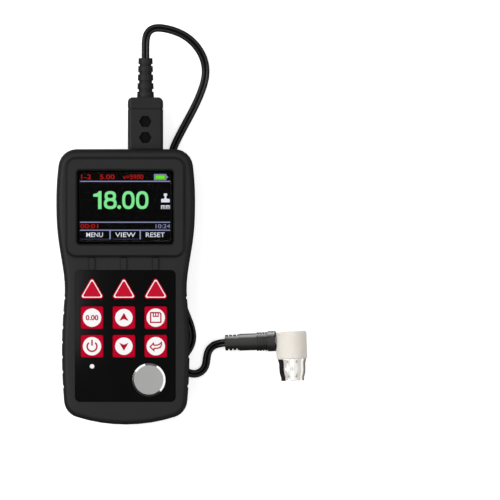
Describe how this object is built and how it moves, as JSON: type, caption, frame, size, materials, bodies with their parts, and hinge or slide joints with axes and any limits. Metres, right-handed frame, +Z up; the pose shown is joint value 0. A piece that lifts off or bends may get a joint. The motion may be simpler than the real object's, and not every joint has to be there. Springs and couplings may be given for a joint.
{
  "type": "ultrasonic thickness gauge",
  "caption": "Handheld ultrasonic thickness gauge with colour screen, red keys, steel zero disc and a twin-cord right-angle contact probe.",
  "frame": {"origin": "middle of the meter's flat back", "axes": "X to the meter's right, Y from foot to plug, Z up out of the face"},
  "size_m": [0.1361, 0.2172, 0.0316],
  "materials": {
    "case": "fine satin texture",
    "panel": "glossy black",
    "keys": "satin red with white marks",
    "window": "clear",
    "display": "dark display",
    "steel": "machined",
    "nose": "polished",
    "screw": "zinc plated",
    "dark_screw": "blackened",
    "brass": "plated",
    "board": "green board",
    "silicone": "matte",
    "lamp": "milky",
    "cell": "wrapped",
    "plug": "satin",
    "boot": "satin",
    "cord": "smooth, slightly glossy",
    "cap": "cream, satin",
    "acrylic": "polished",
    "cork": "cork",
    "ceramic": "fired",
    "resin": "cast"
  },
  "bodies": {
    "meter": {"front_case": "case", "rear_case": "case", "case_screws": "screw", "display_window": "window", "lcd_glass": "display", "lcd_frame": "steel", "main_board": "board", "board_screws": "screw", "keypad_panel": "panel", "key_mat": "silicone", "zero_disc": "steel", "status_lamp": "lamp", "battery_left": "cell", "battery_right": "cell", "battery_contacts": "brass", "socket_left": "brass", "socket_right": "brass", "plug_shell_front": "plug", "plug_shell_rear": "plug", "plug_cap": "plug", "plug_screws": "dark_screw", "plug_nuts": "dark_screw", "plug_pin_left": "brass", "plug_pin_right": "brass", "plug_boot": "boot", "probe_lead_left": "cord", "probe_lead_right": "cord", "probe_boot": "boot", "probe_gland": "screw", "probe_cap": "cap", "probe_nose": "nose", "delay_block_left": "acrylic", "delay_block_right": "acrylic", "probe_barrier": "cork", "probe_crystals": "ceramic", "probe_backing": "resin"},
    "soft_key_left_body": {"soft_key_left": "keys"},
    "soft_key_middle_body": {"soft_key_middle": "keys"},
    "soft_key_right_body": {"soft_key_right": "keys"},
    "cal_key_body": {"cal_key": "keys"},
    "up_key_body": {"up_key": "keys"},
    "save_key_body": {"save_key": "keys"},
    "power_key_body": {"power_key": "keys"},
    "down_key_body": {"down_key": "keys"},
    "enter_key_body": {"enter_key": "keys"},
    "battery_cover_body": {"battery_cover": "case"}
  },
  "joints": [
    {"name": "soft_key_left_press", "type": "slide", "parent": "meter", "child": "soft_key_left_body", "axis": [0, 0, -1], "range_m": [0, 0.0005], "stiffness_N_per_m": 1000},
    {"name": "soft_key_middle_press", "type": "slide", "parent": "meter", "child": "soft_key_middle_body", "axis": [0, 0, -1], "range_m": [0, 0.0005], "stiffness_N_per_m": 1000},
    {"name": "soft_key_right_press", "type": "slide", "parent": "meter", "child": "soft_key_right_body", "axis": [0, 0, -1], "range_m": [0, 0.0005], "stiffness_N_per_m": 1000},
    {"name": "cal_key_press", "type": "slide", "parent": "meter", "child": "cal_key_body", "axis": [0, 0, -1], "range_m": [0, 0.0005], "stiffness_N_per_m": 1000},
    {"name": "up_key_press", "type": "slide", "parent": "meter", "child": "up_key_body", "axis": [0, 0, -1], "range_m": [0, 0.0005], "stiffness_N_per_m": 1000},
    {"name": "save_key_press", "type": "slide", "parent": "meter", "child": "save_key_body", "axis": [0, 0, -1], "range_m": [0, 0.0005], "stiffness_N_per_m": 1000},
    {"name": "power_key_press", "type": "slide", "parent": "meter", "child": "power_key_body", "axis": [0, 0, -1], "range_m": [0, 0.0005], "stiffness_N_per_m": 1000},
    {"name": "down_key_press", "type": "slide", "parent": "meter", "child": "down_key_body", "axis": [0, 0, -1], "range_m": [0, 0.0005], "stiffness_N_per_m": 1000},
    {"name": "enter_key_press", "type": "slide", "parent": "meter", "child": "enter_key_body", "axis": [0, 0, -1], "range_m": [0, 0.0005], "stiffness_N_per_m": 1000},
    {"name": "battery_cover_slide", "type": "slide", "parent": "meter", "child": "battery_cover_body", "axis": [0, -1, 0], "range_m": [0, 0.066]}
  ]
}
